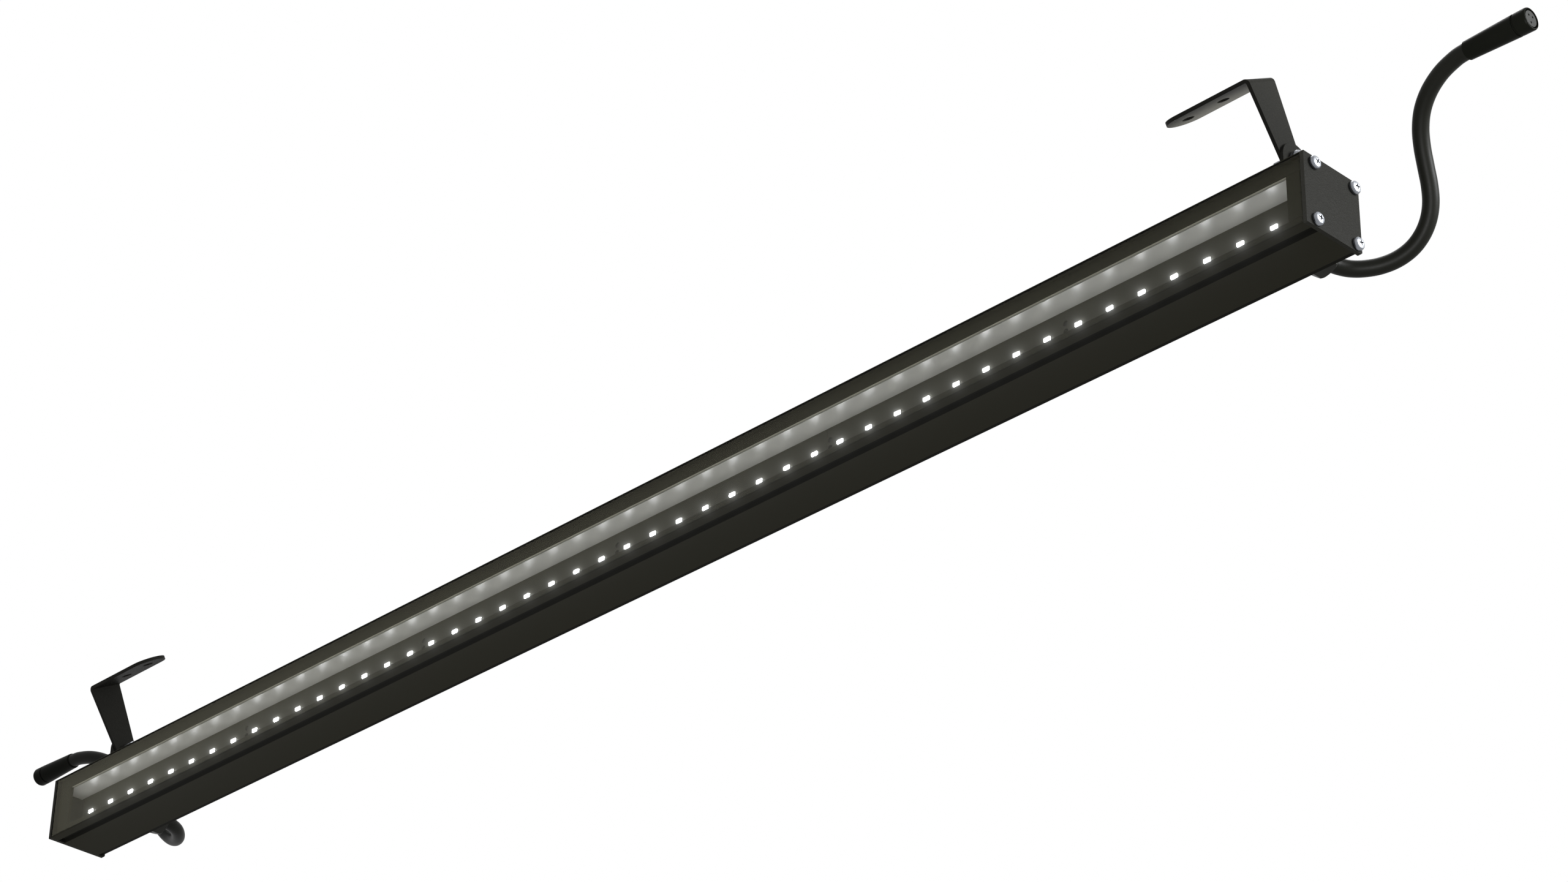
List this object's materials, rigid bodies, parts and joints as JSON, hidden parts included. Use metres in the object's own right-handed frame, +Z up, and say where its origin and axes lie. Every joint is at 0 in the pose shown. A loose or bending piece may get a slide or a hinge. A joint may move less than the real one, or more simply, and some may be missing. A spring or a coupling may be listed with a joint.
{
  "type": "linear light fixture",
  "caption": "Slim glazed linear LED fixture with a rectangular extruded housing, two tilting end brackets and a short cable with a round connector at each end.",
  "frame": {"origin": "midway between the two bracket tabs, on the plane of their outer faces, which is the surface the light is fixed to", "axes": "+X along the housing to its right-hand end as seen from the lit side, -Y out of the lit front, +Z up; the housing is square to the axes and the fixing plane is tilted 29.1 degrees forwards about X"},
  "size_m": [1.208, 0.0945, 0.1061],
  "materials": {
    "housing": "fine-textured dark bronze-black powder coat on an aluminium extrusion",
    "front_glass": "clear toughened glass",
    "glass_seal": "black silicone glass seal",
    "window_end": "same dark powder coat as the housing",
    "reflector": "satin grey anodised strip lining the LED channel",
    "led_board": "matt dark grey solder mask",
    "leds": "white LED packages, lit cool white",
    "board_screws": "blackened steel",
    "driver_case": "plain aluminium case, hidden inside the housing",
    "terminal": "pale terminal block, hidden inside the housing",
    "through_wires": "insulated conductors, hidden inside the housing",
    "end_gasket": "black rubber gasket",
    "end_plate": "fine-textured dark powder coat",
    "end_screws": "bright zinc-plated cross-recess pan heads",
    "foot": "fine-textured dark powder coat",
    "foot_screws": "bright zinc-plated cross-recess pan heads",
    "bracket": "fine-textured dark powder coat",
    "pivot_bolt": "bright zinc plating",
    "pivot_nut": "bright zinc plating",
    "pivot_washers": "bright zinc plating",
    "gland_ring": "black rubber sealing ring",
    "gland_body": "dark grey nylon",
    "gland_nut": "dark grey nylon",
    "gland_seal": "black rubber",
    "gland_locknut": "dark grey nylon",
    "cord": "smooth black rubber sheath with a soft sheen",
    "connector_body": "moulded black plastic",
    "connector_ring": "moulded black plastic",
    "connector_insert": "grey moulded insert",
    "connector_contacts": "gilt contacts"
  },
  "bodies": {
    "brackets": {"bracket_left": "bracket", "bracket_right": "bracket"},
    "luminaire": {"housing": "housing", "front_glass": "front_glass", "glass_seal_left": "glass_seal", "glass_seal_right": "glass_seal", "glass_seal_upper": "glass_seal", "glass_seal_lower": "glass_seal", "window_end_left": "window_end", "window_end_right": "window_end", "reflector_upper": "reflector", "reflector_lower": "reflector", "led_board_1": "led_board", "led_board_2": "led_board", "led_board_3": "led_board", "leds_1": "leds", "leds_2": "leds", "leds_3": "leds", "board_screws": "board_screws", "driver_case": "driver_case", "terminal_left": "terminal", "terminal_right": "terminal", "through_wires": "through_wires", "end_gasket_left": "end_gasket", "end_gasket_right": "end_gasket", "end_plate_left": "end_plate", "end_plate_right": "end_plate", "end_screws_left": "end_screws", "end_screws_right": "end_screws", "foot_left": "foot", "foot_right": "foot", "foot_screws_left": "foot_screws", "foot_screws_right": "foot_screws", "pivot_bolt_left": "pivot_bolt", "pivot_bolt_right": "pivot_bolt", "pivot_nut_left": "pivot_nut", "pivot_nut_right": "pivot_nut", "pivot_washers_left": "pivot_washers", "pivot_washers_right": "pivot_washers", "gland_ring_left": "gland_ring", "gland_ring_right": "gland_ring", "gland_body_left": "gland_body", "gland_body_right": "gland_body", "gland_nut_left": "gland_nut", "gland_nut_right": "gland_nut", "gland_seal_left": "gland_seal", "gland_seal_right": "gland_seal", "gland_locknut_left": "gland_locknut", "gland_locknut_right": "gland_locknut", "cord_left": "cord", "cord_right": "cord", "connector_body_left": "connector_body", "connector_body_right": "connector_body", "connector_ring_left": "connector_ring", "connector_ring_right": "connector_ring", "connector_insert_left": "connector_insert", "connector_insert_right": "connector_insert", "connector_pins_left": "connector_contacts", "connector_sockets_right": "connector_contacts"}
  },
  "joints": [
    {"name": "housing_tilt", "type": "hinge", "parent": "brackets", "child": "luminaire", "pos_m": [0, 0.02213, -0.03976], "axis": [1, 0, 0], "range_deg": [-60, 119]}
  ]
}
